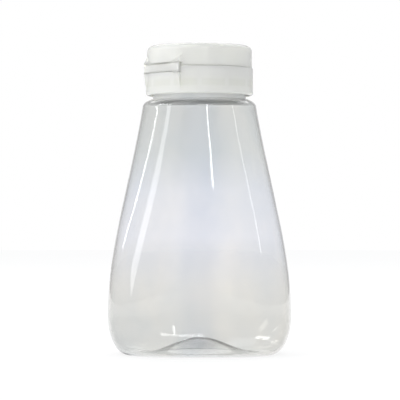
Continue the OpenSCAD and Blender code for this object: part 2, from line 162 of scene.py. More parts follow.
def add_mesh(name, points, faces, smooth=True):
    """A new object from points in millimetres and faces, with its normals outwards."""
    mesh = bpy.data.meshes.new(name)
    mesh.from_pydata([tuple(p) for p in np.asarray(points) * MM], [], faces)
    work = bmesh.new()
    work.from_mesh(mesh)
    bmesh.ops.recalc_face_normals(work, faces=work.faces)
    for face in work.faces:
        face.smooth = smooth
    work.to_mesh(mesh)
    work.free()
    mesh.update()
    obj = bpy.data.objects.new(name, mesh)
    bpy.context.collection.objects.link(obj)
    return obj


def ring_faces(rings, columns, wrap):
    """Quads between each ring and the next, and with wrap from the last ring to the first."""
    faces = []
    for i in range(rings if wrap else rings - 1):
        k = (i + 1) % rings
        for j in range(columns):
            n = (j + 1) % columns
            low = i * columns
            high = k * columns
            faces.append((low + j, low + n, high + n, high + j))
    return faces


def grid_object(name, x, y, z, wrap):
    """An object from rings of points. Without wrap, its two ends close in one point on the axis."""
    rings, columns = x.shape
    points = np.stack([x.ravel(), y.ravel(), z.ravel()], axis=1)
    faces = ring_faces(rings, columns, wrap)
    if not wrap:
        count = rings * columns
        ends = np.array([[0, 0, z[0].mean()], [0, 0, z[-1].mean()]])
        points = np.vstack([points, ends])
        last = count - columns
        for j in range(columns):
            n = (j + 1) % columns
            faces.append((count, n, j))
            faces.append((count + 1, last + j, last + n))
    return add_mesh(name, points, faces)


def even_normals(obj):
    """Keeps flat faces flat next to their small rounded edges."""
    modifier = obj.modifiers.new("even_normals", "WEIGHTED_NORMAL")
    modifier.mode = "FACE_AREA"
    modifier.weight = 50


def rounded_path(corners, closed, arc_steps=4):
    """Rings (r, z, tag) along corners (r, z, rounding, steps to the next corner, tag)."""
    count = len(corners)
    rings = []
    for i, (r, z, rounding, steps, tag) in enumerate(corners):
        here = np.array([r, z])
        before = np.array(corners[i - 1][:2])
        after = np.array(corners[(i + 1) % count][:2])
        at_end = not closed and i in (0, count - 1)
        if rounding == 0 or at_end:
            leave = here
            rings.append((here[0], here[1], tag))
        else:
            into = (here - before) / np.linalg.norm(here - before)
            out = (after - here) / np.linalg.norm(after - here)
            half = math.acos(np.clip(np.dot(into, out), -1, 1)) / 2
            back = rounding * math.tan(half)
            start = here - into * back
            leave = here + out * back
            for k in range(arc_steps + 1):
                t = k / arc_steps
                p = (1 - t) ** 2 * start + 2 * t * (1 - t) * here + t * t * leave
                rings.append((p[0], p[1], tag))
        if closed or i < count - 1:
            next_rounding = corners[(i + 1) % count][2]
            reach = np.linalg.norm(after - here)
            stop = after - (after - here) / reach * min(next_rounding, reach / 2)
            for k in range(1, steps):
                p = leave + (stop - leave) * k / steps
                rings.append((p[0], p[1], tag))
    return rings


def lathe(name, corners, columns=96, closed=True):
    """A turned piece from its rounded outline."""
    rings = rounded_path([(r, z, rounding, 1, "") for r, z, rounding in corners], closed)
    r = np.array([p[0] for p in rings])[:, None]
    z = np.array([p[1] for p in rings])[:, None]
    angle = np.linspace(0, 2 * math.pi, columns, endpoint=False)[None, :]
    obj = grid_object(name, r * np.cos(angle), r * np.sin(angle), z + 0 * angle, closed)
    even_normals(obj)
    return obj


# Screw threads, as a raised band on a turned surface

def thread_height(angle, z, start_angle, start_z, turns):
    """From 0 on the wall to 1 on the crest of a helical ridge. Angles in degrees."""
    height = np.zeros(np.broadcast(angle, z).shape)
    for lap in range(-1, 3):
        turn = (angle - start_angle) / 360 + lap
        share = turn / turns
        inside = (share >= 0) & (share <= 1)
        off = np.abs(z - (start_z + THREAD_PITCH * turn))
        fade = np.clip(np.minimum(turn, turns - turn) * 12, 0, 1)
        flank = np.clip((THREAD_ROOT_H / 2 - off) / ((THREAD_ROOT_H - THREAD_TIP_H) / 2), 0, 1)
        ridge = flank * flank * (3 - 2 * flank) * np.sqrt(fade)
        height = np.where(inside, np.maximum(height, ridge), height)
    return height


# Bottle: one closed wall, outside from the push-up to the rim and inside back down

BOTTLE_COLUMNS = 224
PUSHUP_RINGS = 26
CORNER_RINGS = 26
SIDE_RINGS = 61
SHOULDER_RINGS = 15


def bezier(points, t):
    """A point on a cubic curve."""
    a, b, c, d = (np.array(p) for p in points)
    return (1 - t) ** 3 * a + 3 * (1 - t) ** 2 * t * b + 3 * (1 - t) * t * t * c + t ** 3 * d


def side_curve():
    """Control points (half width, height) of the body's side."""
    low = (BODY_HALF_W, CORNER_H)
    high = (SHOULDER_HALF_W, SHOULDER_Z - SHOULDER_ROUND_H)
    span = high[1] - low[1]
    lean = SIDE_LEAN * span * (1 - SIDE_BEND_HIGH)
    bend_low = (low[0], low[1] + span * SIDE_BEND_LOW)
    bend_high = (high[0] + lean, low[1] + span * SIDE_BEND_HIGH)
    return [low, bend_low, bend_high, high]


def body_rings(skin):
    """Rings (half width, half depth, height, power) of one skin, from the base's middle to the neck."""
    foot_w = BODY_HALF_W - FOOT_IN_W
    foot_d = BODY_HALF_D - FOOT_IN_D
    pushup_share = 1 - FOOT_BAND / foot_d
    rings = []
    for f in np.linspace(0.04, 1, PUSHUP_RINGS):
        share = pushup_share * f
        height = skin + PUSHUP_H * (1 + math.cos(math.pi * f)) / 2
        power = OVAL_POWER + (2 - OVAL_POWER) * (1 - share)
        rings.append((foot_w * share, foot_d * share, height, power))
    for u in np.radians(np.linspace(90, 0, CORNER_RINGS)):
        out = math.cos(u)
        height = CORNER_H - (CORNER_H - skin) * math.sin(u)
        across = foot_w + (FOOT_IN_W - skin) * out
        along = foot_d + (FOOT_IN_D - skin) * out
        rings.append((across, along, height, OVAL_POWER))
    for t in np.linspace(0, 1, SIDE_RINGS)[1:]:
        x, z = bezier(side_curve(), t)
        share = (x - SHOULDER_HALF_W) / (BODY_HALF_W - SHOULDER_HALF_W)
        depth = SHOULDER_HALF_D + (BODY_HALF_D - SHOULDER_HALF_D) * share
        power = SHOULDER_POWER + (OVAL_POWER - SHOULDER_POWER) * share
        rings.append((x - skin, depth - skin, z, power))
    for u in np.radians(np.linspace(0, 90, SHOULDER_RINGS))[1:]:
        across = NECK_JOINT_R + (SHOULDER_HALF_W - NECK_JOINT_R - skin) * math.cos(u)
        along = NECK_JOINT_R + (SHOULDER_HALF_D - NECK_JOINT_R - skin) * math.cos(u)
        height = SHOULDER_Z - SHOULDER_ROUND_H + (SHOULDER_ROUND_H - skin) * math.sin(u)
        rings.append((across, along, height, 2 + (SHOULDER_POWER - 2) * math.cos(u)))
    return rings


def neck_rings():
    """Rings of the neck outside, over its lip and down the bore."""
    bead_top = SHOULDER_Z + BEAD_H
    corners = [
        (BEAD_R, SHOULDER_Z + 0.1, 0, 6, ""),
        (BEAD_R, bead_top, BEAD_ROUND, 3, ""),
        (NECK_R, bead_top, 0.15, 64, "thread"),
        (NECK_R, RIM_Z, LIP_ROUND, 3, ""),
        (BORE_R, RIM_Z, 0.2, 40, ""),
        (BORE_R, SHOULDER_Z - 0.2, 0, 1, ""),
    ]
    return rounded_path(corners, False, arc_steps=6)


def build_bottle():
    """The bottle's closed wall, with the thread on its neck."""
    outer = body_rings(0.0)[:-1]
    inner = body_rings(WALL)[:-1][::-1]
    neck = neck_rings()
    rows = outer + [(r, r, z, 2.0) for r, z, _ in neck] + inner
    tags = [""] * len(outer) + [tag for _, _, tag in neck] + [""] * len(inner)
    across, along, height, power = (np.array(column)[:, None] for column in zip(*rows))
    angle = (np.arange(BOTTLE_COLUMNS) + 0.5)[None, :] * 2 * math.pi / BOTTLE_COLUMNS
    cos = np.cos(angle)
    sin = np.sin(angle)
    radius = (np.abs(cos / across) ** power + np.abs(sin / along) ** power) ** (-1 / power)
    threaded = np.array([tag == "thread" for tag in tags])[:, None]
    ridge = thread_height(
        np.degrees(angle), height + 0 * angle, NECK_THREAD_ANGLE, NECK_THREAD_Z, NECK_THREAD_TURNS
    )
    radius = np.where(threaded, radius + (THREAD_R - NECK_R) * ridge, radius)
    return grid_object("bottle_wall", radius * cos, radius * sin, height + 0 * angle, False)


# Cap: turned shells whose wall is shaped round the hinge, the thumb recess, the ribs and the thread

# Half angles in degrees, from the middle of the hinge or the thumb recess, at which the cap's forms end
UPSTAND_GAP = 33.0
BASE_SHELF = 30.0
LID_WINDOW = 27.0
THUMB_SHELF = 24.0
OTHER_EDGES = [28.8, 21.8]

ANGLE_STEP = 1.5
EDGE_OFFSETS = np.array([-0.6, -0.35, -0.15, -0.05, 0.05, 0.15, 0.35, 0.6])

# Straight forms across the hinge end within this angle, and nothing cuts a wall at this distance
HINGE_SIDE = math.radians(60)
FAR = 1e3


def cap_angles():
    """Angles from the hinge's middle, in radians, closer together at each edge of a form."""
    edges = [math.degrees(math.atan2(HINGE_HALF_W, HINGE_REACH)), BASE_SHELF, LID_WINDOW] + OTHER_EDGES
    angles = list(np.arange(0, 360, ANGLE_STEP))
    for edge in edges:
        for side in (edge, 360 - edge):
            angles += list(side + EDGE_OFFSETS)
    rib_half = math.degrees(RIB_T / 2 / (CAP_R - SKIRT_T))
    for i in range(RIB_COUNT):
        middle = 270 + 360 * i / RIB_COUNT - math.degrees(HINGE_AZIMUTH)
        for off in (-rib_half - 0.15, -rib_half, rib_half, rib_half + 0.15):
            angles.append((middle + off) % 360)
    kept = []
    for a in sorted(angles):
        if not kept or a - kept[-1] > 0.04:
            kept.append(a)
    return np.radians(kept)


def turned_from(angle, centre=0.0):
    """An angle from a middle, between minus and plus half a turn."""
    return (angle - centre + math.pi) % (2 * math.pi) - math.pi


def hinge_prism(angle, reach):
    """Distance from the axis to the surface of a straight block across the hinge, or 0 away from it."""
    signed = turned_from(angle)
    near = np.abs(signed) < HINGE_SIDE
    cos = np.where(near, np.cos(signed), 1)
    sin = np.maximum(np.abs(np.sin(signed)), 1e-6)
    return np.where(near, np.minimum(reach / cos, HINGE_HALF_W / sin), 0)


def hinge_plane(angle, distance):
    """Distance from the axis to a plane across the hinge, or a large number away from it."""
    signed = turned_from(angle)
    near = np.abs(signed) < HINGE_SIDE
    return np.where(near, distance / np.where(near, np.cos(signed), 1), FAR)


def thumb_scoop(angle):
    """Distance from the axis to the thumb recess, opposite the hinge."""
    scoop_r = ((THUMB_W / 2) ** 2 + THUMB_DEPTH ** 2) / (2 * THUMB_DEPTH)
    signed = angle - math.pi
    near = np.abs(signed) < math.radians(40)
    across = CAP_R * np.sin(np.where(near, signed, 0))
    depth = CAP_R - THUMB_DEPTH + across ** 2 / (2 * scoop_r)
    return np.where(near, np.hypot(depth, across), FAR)


def smooth_max(a, b, soft=0.12):
    """The larger of two distances, with the edge between them rounded."""
    gap = np.clip(0.5 + 0.5 * (a - b) / soft, 0, 1)
    return b + (a - b) * gap + soft * gap * (1 - gap)


def in_sector(angle, half_degrees, centre=0.0):
    """Whether an angle lies within half_degrees of a middle."""
    return np.abs(turned_from(angle, centre)) < math.radians(half_degrees)


def base_corners():
    """Outline of the base, from the pouring lip round its outside and back through its inside."""
    slot_z = FILM_LOW_Z - 0.05
    thumb_z = DECK_Z - THUMB_H
    step = 0.02
    bead = 0.25
    bead_top = ring_low.z - 0.05
    skirt_in = CAP_R - SKIRT_T
    return [
        (ORIFICE_R, LIP_TOP_Z, 0.45, 2, "lip"),
        (ORIFICE_R + LIP_T, LIP_TOP_Z, 0.45, 3, "lip"),
        (ORIFICE_R + LIP_T, DECK_Z, 0.25, 6, "deck"),
        (UPSTAND_R - UPSTAND_T, DECK_Z, 0.15, 2, "upstand"),
        (UPSTAND_R - UPSTAND_T, DECK_Z + UPSTAND_H, 0.2, 2, "upstand"),
        (UPSTAND_R, DECK_Z + UPSTAND_H, 0.2, 2, "upstand"),
        (UPSTAND_R, DECK_Z, 0.1, 2, "upstand"),
        (CAP_R, DECK_Z, 0.12, 6, "outer_top"),
        (CAP_R, slot_z, 0, 1, "outer_top"),
        (CAP_R, slot_z - step, 0, 8, "outer_mid"),
        (CAP_R, thumb_z, 0, 1, "outer_mid"),
        (CAP_R, thumb_z - step, 0, 26, "outer_low"),
        (CAP_R, SKIRT_Z + BOTTOM_BEVEL, 0.4, 1, "outer_low"),
        (CAP_R - BOTTOM_BEVEL, SKIRT_Z, 0.15, 1, "plain"),
        (skirt_in, SKIRT_Z, 0.15, 3, "plain"),
        (skirt_in, INNER_SKIRT_Z + 0.15, 0, 1, "plain"),
        (skirt_in, INNER_SKIRT_Z + 0.25, 0, 8, "ribs"),
        (skirt_in, DECK_UNDER_Z, 0.2, 1, "ribs"),
        (INNER_R + INNER_T, DECK_UNDER_Z, 0.2, 6, "inner_back"),
        (INNER_R + INNER_T, INNER_SKIRT_Z, 0.2, 1, "plain"),
        (INNER_R, INNER_SKIRT_Z, 0.2, 56, "thread"),
        (INNER_R, DECK_UNDER_Z, 0.2, 3, "plain"),
        (HOUSING_R + HOUSING_T, DECK_UNDER_Z, 0.2, 3, "plain"),
        (HOUSING_R + HOUSING_T, HOUSING_LOW_Z, 0.2, 1, "plain"),
        (HOUSING_R - bead, HOUSING_LOW_Z, 0.1, 1, "plain"),
        (HOUSING_R - bead, bead_top - bead, 0.05, 1, "plain"),
        (HOUSING_R, bead_top, 0.05, 2, "plain"),
        (HOUSING_R, DECK_UNDER_Z, 0.1, 2, "plain"),
        (ORIFICE_R, DECK_UNDER_Z, 0.1, 3, "lip"),
    ]


def base_reach(z):
    """How far the proud hinge ends of the base stand from the axis at each height."""
    low = FILM_LOW_Z - BASE_RAMP_H
    run_out = math.sqrt(CAP_R ** 2 - HINGE_HALF_W ** 2)
    share = np.clip((z - low) / (BASE_RAMP_H - RAMP_FOOT), 0, 1)
    return np.where(z > low, run_out + (HINGE_REACH - run_out) * share, 0)


def shape_outside(r, z, angle, tag):
    """The base's outside with its hinge ends, its thumb recess and the slot behind the strap."""
    prism = hinge_prism(angle, base_reach(z)) - (CAP_R - r)
    prism = np.where(z <= FILM_LOW_Z, prism, 0)
    r = np.where(np.isin(tag, ["outer_mid", "outer_low"]), smooth_max(r, prism), r)
    r = np.where(np.isin(tag, ["outer_top", "outer_mid"]), np.minimum(r, thumb_scoop(angle)), r)
    slot = hinge_plane(angle, SLOT_BACK)
    return np.where(np.isin(tag, ["outer_top", "upstand"]), np.minimum(r, slot), r)


def lower_ceiling(z, angle, tag):
    """Heights between the two skirts, squeezed under the hinge shelf and the thumb recess."""
    ceiling = np.where(in_sector(angle, BASE_SHELF), FILM_LOW_Z - SHELF_H, DECK_UNDER_Z)
    ceiling = np.where(in_sector(angle, THUMB_SHELF, math.pi), DECK_Z - THUMB_H - 1, ceiling)
    low = INNER_SKIRT_Z + 0.3
    squeeze = low + (z - low) * (ceiling - low) / (DECK_UNDER_Z - low)
    between = np.isin(tag, ["ribs", "inner_back"])
    return np.where(between & (z > low), squeeze, z)


def shape_base(r, z, angle, tags):
    """Shapes the base's turned wall round the hinge, the thumb recess, the ribs and the thread."""
    tag = np.array(tags)[:, None]
    r = shape_outside(r, z, angle, tag)
    at_hinge = in_sector(angle, UPSTAND_GAP)
    z = np.where((tag == "upstand") & at_hinge, np.minimum(z, DECK_Z), z)
    z = lower_ceiling(z, angle, tag)
    r = np.where(tag == "ribs", rib_wall(r, angle), r)
    turned = np.degrees(angle + HINGE_AZIMUTH)
    start = NECK_THREAD_ANGLE + 360 * (CAP_THREAD_Z - NECK_THREAD_Z + THREAD_PITCH / 2) / THREAD_PITCH
    ridge = thread_height(turned, z, start, CAP_THREAD_Z, CAP_THREAD_TURNS)
    return np.where(tag == "thread", r - (INNER_R - CAP_THREAD_TIP_R) * ridge, r), z


def rib_wall(r, angle):
    """The skirt's inside wall, which comes in to meet the threaded skirt at each rib."""
    rib_half = RIB_T / 2 / (CAP_R - SKIRT_T)
    tip = INNER_R + INNER_T + 0.03
    for i in range(RIB_COUNT):
        middle = math.radians(270 + 360 * i / RIB_COUNT) - HINGE_AZIMUTH
        r = np.where(in_sector(angle, math.degrees(rib_half) + 0.02, middle), tip, r)
    return r


def lid_corners():
    """Outline of the lid, from the middle of its crown over its edge and back to the middle inside."""
    side_top = LID_TOP_Z - LID_ROUND - LID_CROWN
    roof = LID_TOP_Z - LID_T
    crown = [
        ((LID_R - LID_ROUND) * f, LID_TOP_Z - LID_CROWN * f * f, 0, 1, "roof")
        for f in np.linspace(0.02, 1, 14)
    ]
    edge = [
        (LID_R - LID_ROUND + LID_ROUND * math.sin(u), side_top + LID_ROUND * math.cos(u), 0, 1, "roof")
        for u in np.radians(np.linspace(0, 90, 14))[1:-1]
    ]
    return crown + edge + [
        (LID_R, side_top, 0, 8, "outer"),
        (LID_R, FILM_HIGH_Z + LID_RAMP_H, 0, 22, "outer"),
        (LID_R, FILM_HIGH_Z, 0, 1, "outer"),
        (LID_R, FILM_HIGH_Z - 0.03, 0, 5, "outer"),
        (LID_R, LID_Z, 0.12, 1, "outer"),
        (LID_R - LID_T, LID_Z, 0.2, 8, "inner"),
        (LID_R - LID_T, FILM_HIGH_Z + SHELF_H, 0, 1, "inner"),
        (LID_R - LID_T, FILM_HIGH_Z + SHELF_H + 0.05, 0, 6, "plain"),
        (LID_R - LID_T, roof - LID_CROWN, 0.8, 4, "plain"),
        (PLUG_R, roof - LID_CROWN / 4, 0.25, 4, "plain"),
        (PLUG_R, PLUG_LOW_Z, 0.25, 1, "plain"),
        (PLUG_R - PLUG_T, PLUG_LOW_Z, 0.2, 4, "plain"),
        (PLUG_R - PLUG_T, roof, 0.25, 4, "plain"),
        (0.2, roof, 0, 1, "plain"),
    ]


def shape_lid(r, z, angle, tags):
    """Shapes the lid's turned wall: its hinge ends, and the window over the strap."""
    tag = np.array(tags)[:, None]
    walls = (tag == "outer") | (tag == "inner")
    window = in_sector(angle, LID_WINDOW) & walls
    top = FILM_HIGH_Z + SHELF_H
    lifted = FILM_HIGH_Z + (z - LID_Z) * (top - FILM_HIGH_Z) / (top - LID_Z)
    z = np.where(window & (z < top), lifted, z)
    run_out = math.sqrt(LID_R ** 2 - HINGE_HALF_W ** 2)
    share = np.clip((z - FILM_HIGH_Z) / LID_RAMP_H, 0, 1)
    reach = np.where(share < 1, HINGE_REACH + (run_out - HINGE_REACH) * share, 0)
    prism = np.where(z >= FILM_HIGH_Z, hinge_prism(angle, reach), 0) - (LID_R - r)
    r = np.where(tag == "outer", smooth_max(r, prism), r)
    shelf = hinge_plane(angle, HINGE_REACH - STRAP_T)
    r = np.where((tag == "inner") & (z >= FILM_HIGH_Z), np.minimum(r, shelf), r)
    return r, z


def cap_shell(name, corners, shape, closed):
    """A turned cap piece whose points are moved by its shape function."""
    rings = rounded_path(corners, closed)
    angle = cap_angles()[None, :]
    r = np.array([ring[0] for ring in rings])[:, None] + 0 * angle
    z = np.array([ring[1] for ring in rings])[:, None] + 0 * angle
    r, z = shape(r, z, angle, [ring[2] for ring in rings])
    turned = angle + HINGE_AZIMUTH
    obj = grid_object(name, r * np.cos(turned), r * np.sin(turned), z, closed)
    even_normals(obj)
    return obj


# Hinge strap and films

def hinge_point(out, across, z):
    """A point from its distance towards the hinge, its place along the hinge and its height."""
    cos = math.cos(HINGE_AZIMUTH)
    sin = math.sin(HINGE_AZIMUTH)
    return (out * cos - across * sin, out * sin + across * cos, z)


def hinge_bar(name, outline, half_w, end_round):
    """A bar along the hinge from its outline of (distance, height) points, with rounded ends."""
    steps = 16
    straight = 2 * half_w - 2 * end_round
    edge = end_round * 0.4
    edge_in = end_round * 0.25
    low_end = [(-half_w, end_round), (-half_w + edge, edge_in), (-half_w + end_round, 0)]
    middle_part = [(-half_w + end_round + straight * k / steps, 0) for k in range(1, steps)]
    high_end = [(half_w - end_round, 0), (half_w - edge, edge_in), (half_w, end_round)]
    stations = low_end + middle_part + high_end
    middle = np.mean(outline, axis=0)
    points = []
    for across, inset in stations:
        for p in np.array(outline):
            off = p - middle
            size = np.abs(off).max()
            p = middle + off * (1 - min(inset / size, 0.9))
            points.append(hinge_point(p[0], across, p[1]))
    count = len(outline)
    faces = ring_faces(len(stations), count, False)
    faces.append(tuple(range(count)))
    faces.append(tuple(range(len(points) - count, len(points))))
    obj = add_mesh(name, points, faces)
    even_normals(obj)
    return obj


def strap_outline():
    """Outline (distance, height) of the strap between the two films."""
    corners = [
        (HINGE_REACH - STRAP_T, FILM_LOW_Z + 0.1, 0.15, 2, ""),
        (HINGE_REACH, FILM_LOW_Z + 0.02, 0.12, 10, ""),
        (HINGE_REACH, FILM_HIGH_Z - 0.02, 0.12, 2, ""),
        (HINGE_REACH - STRAP_T, FILM_HIGH_Z - 0.1, 0.15, 10, ""),
    ]
    return [(r, z) for r, z, _ in rounded_path(corners, True)]


def film_outline(z):
    """A thin rolled film across a hinge line, its two edges let into the pieces that it joins."""
    half_h = 0.42
    film_t = 0.2
    steps = 9
    out = []
    back = []
    for k in range(steps + 1):
        t = 2 * k / steps - 1
        bulge = FILM_R / 2 * (1 - t * t)
        out.append((HINGE_REACH + bulge, z + half_h * t))
        back.append((HINGE_REACH - film_t + bulge * 0.8, z + half_h * t))
    return out + back[::-1]


# Valve, retainer and seal

def build_valve():
    """Slit valve: a dished head of four lips, its rolled sleeve and its clamped flange."""
    sleeve_out = ORIFICE_R - 0.3
    sleeve_in = sleeve_out - 0.6
    head_low = DECK_UNDER_Z - 0.6
    sag = 0.7
    head_t = 0.7
    flange_out = valve_high.x
    flange_in = flange_out - 3
    top = valve_high.z
    under = [(sleeve_in * f, head_low + sag * f * f, 0) for f in np.linspace(0.01, 1, 12)]
    over = [(sleeve_in * f, head_low + head_t + sag * f * f, 0) for f in np.linspace(1, 0.01, 12)]
    collar = [
        (sleeve_in, valve_low.z, 0.15),
        (flange_out, valve_low.z, 0.15),
        (flange_out, DECK_UNDER_Z - 0.01, 0.15),
        (flange_in, DECK_UNDER_Z - 0.01, 0.15),
        (flange_in, DECK_UNDER_Z - 0.7, 0.1),
        (sleeve_out, DECK_UNDER_Z - 0.7, 0.1),
        (sleeve_out, top, 0.2),
        (sleeve_in, top, 0.2),
    ]
    body = lathe("valve_body", under + collar + over, closed=False)
    cut_slits(body)
    return body


def cut_slits(body):
    """Two crossed slits through the valve's head."""
    slit_l = 8.0
    slit_w = 0.12
    for index, turn in enumerate((45, 135)):
        a = math.radians(turn)
        along = np.array([math.cos(a), math.sin(a)]) * slit_l / 2
        aside = np.array([-math.sin(a), math.cos(a)]) * slit_w / 2
        plan = [along + aside, aside - along, -along - aside, along - aside]
        points = [(x, y, z) for z in (DECK_UNDER_Z - 3, DECK_UNDER_Z + 3) for x, y in plan]
        faces = [(0, 1, 2, 3), (4, 5, 6, 7)]
        faces += [(i, (i + 1) % 4, (i + 1) % 4 + 4, i + 4) for i in range(4)]
        cutter = add_mesh(f"slit_cutter_{index}", points, faces, smooth=False)
        modifier = body.modifiers.new(f"slit_{index}", "BOOLEAN")
        modifier.operation = "DIFFERENCE"
        modifier.object = cutter
        apply_modifiers(body)
        bpy.data.objects.remove(cutter)


def apply_modifiers(obj):
    """Replaces an object's mesh by what its modifiers make of it."""
    bpy.context.view_layer.update()
    seen = obj.evaluated_get(bpy.context.evaluated_depsgraph_get())
    mesh = bpy.data.meshes.new_from_object(seen)
    obj.modifiers.clear()
    obj.data = mesh


# Materials

# Most values of a noise lie between these
NOISE_LOW = 0.3
NOISE_HIGH = 0.7

WHITE = (1.0, 1.0, 1.0)

# Painted shade and light on the clear wall along its height, greyest at the foot and shoulder, as (share
# of the height, colour)
WALL_PAINTED_SHADE = [
    (0.0, (0.95, 0.95, 0.93)),
    (0.04, (0.865, 0.86, 0.84)),
    (0.13, (0.865, 0.86, 0.84)),
    (0.24, (0.92, 0.91, 0.89)),
    (0.42, (0.98, 0.975, 0.99)),
    (0.58, (0.94, 0.945, 0.965)),
    (0.72, (0.88, 0.888, 0.882)),
    (0.885, (0.855, 0.86, 0.852)),
    (0.905, (1.0, 1.0, 0.985)),
]
CLOUD_TINT = ((0.91, 0.93, 0.955), (1.0, 0.995, 0.985))

# Painted blue-grey shade down the middle of the wide faces, from full to none
MIDDLE_PAINTED_SHADE = (0.95, 0.957, 0.975)
MIDDLE_SHADE_IN = 2.0
MIDDLE_SHADE_OUT = 12.0

# The unstretched neck is hazy from the first height, fully at the second
HAZE_LOW_Z = 98.4
HAZE_HIGH_Z = 99.6
HAZY_CLEAR = 0.3

# Cap
MILKY_CLEAR = 0.45
MILKY_TINT = ((0.978, 0.975, 0.875), (0.99, 0.988, 0.895))
# Painted shade between the ribs behind the skirt
RIB_PAINTED_SHADE = (0.955, 0.958, 0.95)
RIB_FADE = 0.3


def new_material(name):
    """A material with its node tree and its main shader."""
    material = bpy.data.materials.new(name)
    material.use_nodes = True
    tree = material.node_tree
    return material, tree, tree.nodes["Principled BSDF"]


def feed(tree, socket, value):
    """Links a socket to another one, or gives it a number."""
    if isinstance(value, bpy.types.NodeSocket):
        tree.links.new(value, socket)
    else:
        socket.default_value = value


def add_place(tree, kind="Object"):
    """X, Y and Z of a piece's own coordinates in metres, or of the world's directions."""
    place = tree.nodes.new("ShaderNodeTexCoord")
    split = tree.nodes.new("ShaderNodeSeparateXYZ")
    tree.links.new(place.outputs[kind], split.inputs["Vector"])
    return split.outputs["X"], split.outputs["Y"], split.outputs["Z"]


def add_noise(tree, scale, detail, stretch=(1, 1, 1)):
    """Noise in the piece's own coordinates."""
    place = tree.nodes.new("ShaderNodeTexCoord")
    mapping = tree.nodes.new("ShaderNodeMapping")
    mapping.inputs["Scale"].default_value = stretch
    noise = tree.nodes.new("ShaderNodeTexNoise")
    noise.inputs["Scale"].default_value = scale
    noise.inputs["Detail"].default_value = detail
    tree.links.new(place.outputs["Object"], mapping.inputs["Vector"])
    tree.links.new(mapping.outputs["Vector"], noise.inputs["Vector"])
    return noise.outputs["Fac"]


def add_math(tree, operation, first, second=0.0):
    """The result of a sum on one or two sockets or numbers."""
    node = tree.nodes.new("ShaderNodeMath")
    node.operation = operation
    feed(tree, node.inputs[0], first)
    feed(tree, node.inputs[1], second)
    return node.outputs[0]


def add_map(tree, source, start, end, low=0.0, high=1.0, smooth=False):
    """A value that runs from low to high while its source runs from start to end."""
    spread = tree.nodes.new("ShaderNodeMapRange")
    if smooth:
        spread.interpolation_type = "SMOOTHSTEP"
    spread.inputs["From Min"].default_value = start
    spread.inputs["From Max"].default_value = end
    spread.inputs["To Min"].default_value = low
    spread.inputs["To Max"].default_value = high
    tree.links.new(source, spread.inputs["Value"])
    return spread.outputs["Result"]


def add_ramp(tree, source, stops):
    """A colour along a value, from (place, colour) stops."""
    ramp = tree.nodes.new("ShaderNodeValToRGB")
    tree.links.new(source, ramp.inputs["Fac"])
    elements = ramp.color_ramp.elements
    while len(elements) < len(stops):
        elements.new(0.5)
    for element, (position, colour) in zip(elements, stops):
        element.position = position
        element.color = (*colour, 1)
    return ramp.outputs["Color"]


def add_tint(tree, noise, tints):
    """A colour between two, from a noise."""
    return add_ramp(tree, noise, [(NOISE_LOW, tints[0]), (NOISE_HIGH, tints[1])])


def add_roughness(tree, shader, noise, low, high):
    """A roughness that a noise takes from low to high."""
    value = add_map(tree, noise, NOISE_LOW, NOISE_HIGH, low, high)
    tree.links.new(value, shader.inputs["Roughness"])


def add_bump(tree, shader, noise, strength, distance):
    """Waves on the surface from a noise. The distance is in metres."""
    bump = tree.nodes.new("ShaderNodeBump")
    bump.inputs["Strength"].default_value = strength
    bump.inputs["Distance"].default_value = distance
    tree.links.new(noise, bump.inputs["Height"])
    tree.links.new(bump.outputs["Normal"], shader.inputs["Normal"])


def multiply_colours(tree, first, second):
    """One colour multiplied by another."""
    mix = tree.nodes.new("ShaderNodeMix")
    mix.data_type = "RGBA"
    mix.blend_type = "MULTIPLY"
    mix.inputs["Factor"].default_value = 1.0
    tree.links.new(first, mix.inputs["A"])
    tree.links.new(second, mix.inputs["B"])
    return mix.outputs["Result"]


def add_middle_painted_shade(tree):
    """Painted blue-grey shade down the middle of the two wide faces."""
    aside = add_math(tree, "ABSOLUTE", add_place(tree)[0])
    share = add_map(tree, aside, MIDDLE_SHADE_IN * MM, MIDDLE_SHADE_OUT * MM, smooth=True)
    return add_ramp(tree, share, [(0.0, MIDDLE_PAINTED_SHADE), (1.0, WHITE)])


def add_painted_rib_shade(tree):
    """Painted shade between the ribs that stand behind the skirt, and none along them."""
    x, y, z = add_place(tree)
    angle = add_math(tree, "ARCTAN2", x, y)
    wave = add_math(tree, "COSINE", add_math(tree, "MULTIPLY", angle, RIB_COUNT))
    between = add_map(tree, wave, 0.97, 0.8)
    top = DECK_Z - THUMB_H
    above = add_map(tree, z, (INNER_SKIRT_Z - RIB_FADE) * MM, (INNER_SKIRT_Z + RIB_FADE) * MM)
    below = add_map(tree, z, top * MM, (top - 1) * MM)
    band = add_math(tree, "MULTIPLY", above, below)
    shade = add_math(tree, "MULTIPLY", band, between)
    return add_ramp(tree, shade, [(0.0, WHITE), (1.0, RIB_PAINTED_SHADE)])


def add_absorption(tree):
    """Light lost on its way through the solid: thick places and edges seen along the wall are greyer."""
    body = tree.nodes.new("ShaderNodeVolumeAbsorption")
    body.inputs["Color"].default_value = (0.3, 0.31, 0.3, 1)
    body.inputs["Density"].default_value = 45
    tree.links.new(body.outputs["Volume"], tree.nodes["Material Output"].inputs["Volume"])


